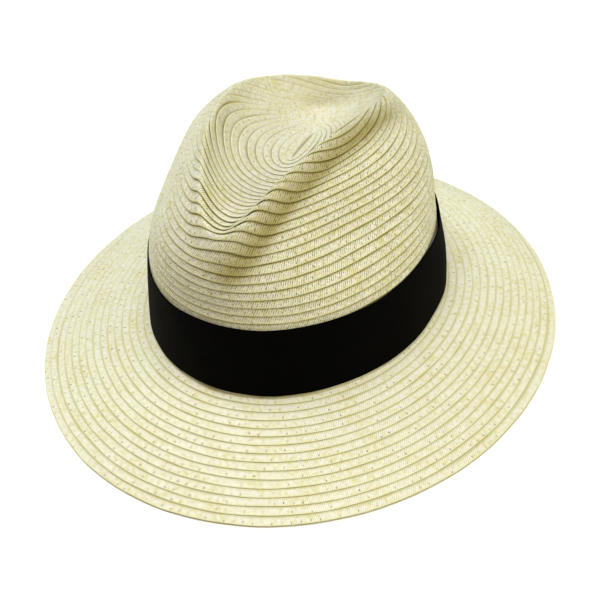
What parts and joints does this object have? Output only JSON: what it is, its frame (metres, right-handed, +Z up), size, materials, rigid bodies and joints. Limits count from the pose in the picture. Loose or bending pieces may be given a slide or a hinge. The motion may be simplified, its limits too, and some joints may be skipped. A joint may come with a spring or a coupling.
{
  "type": "safari hat",
  "caption": "Wide-brimmed hat sewn from straw braid, with a teardrop-creased crown, a gently sloping brim and a plain ribbon band.",
  "frame": {"origin": "middle of the hat in plan, on the floor that the edge of the brim rests on", "axes": "+Z up through the top of the crown, front of the hat to -Y, wearer's left to +X"},
  "size_m": [0.3192, 0.3409, 0.156],
  "materials": {
    "straw": "matte sewn straw braid",
    "ribbon": "matte black ribbon"
  },
  "bodies": {
    "root": {"crown": "straw", "brim": "straw", "hat_band": "ribbon"}
  },
  "joints": []
}
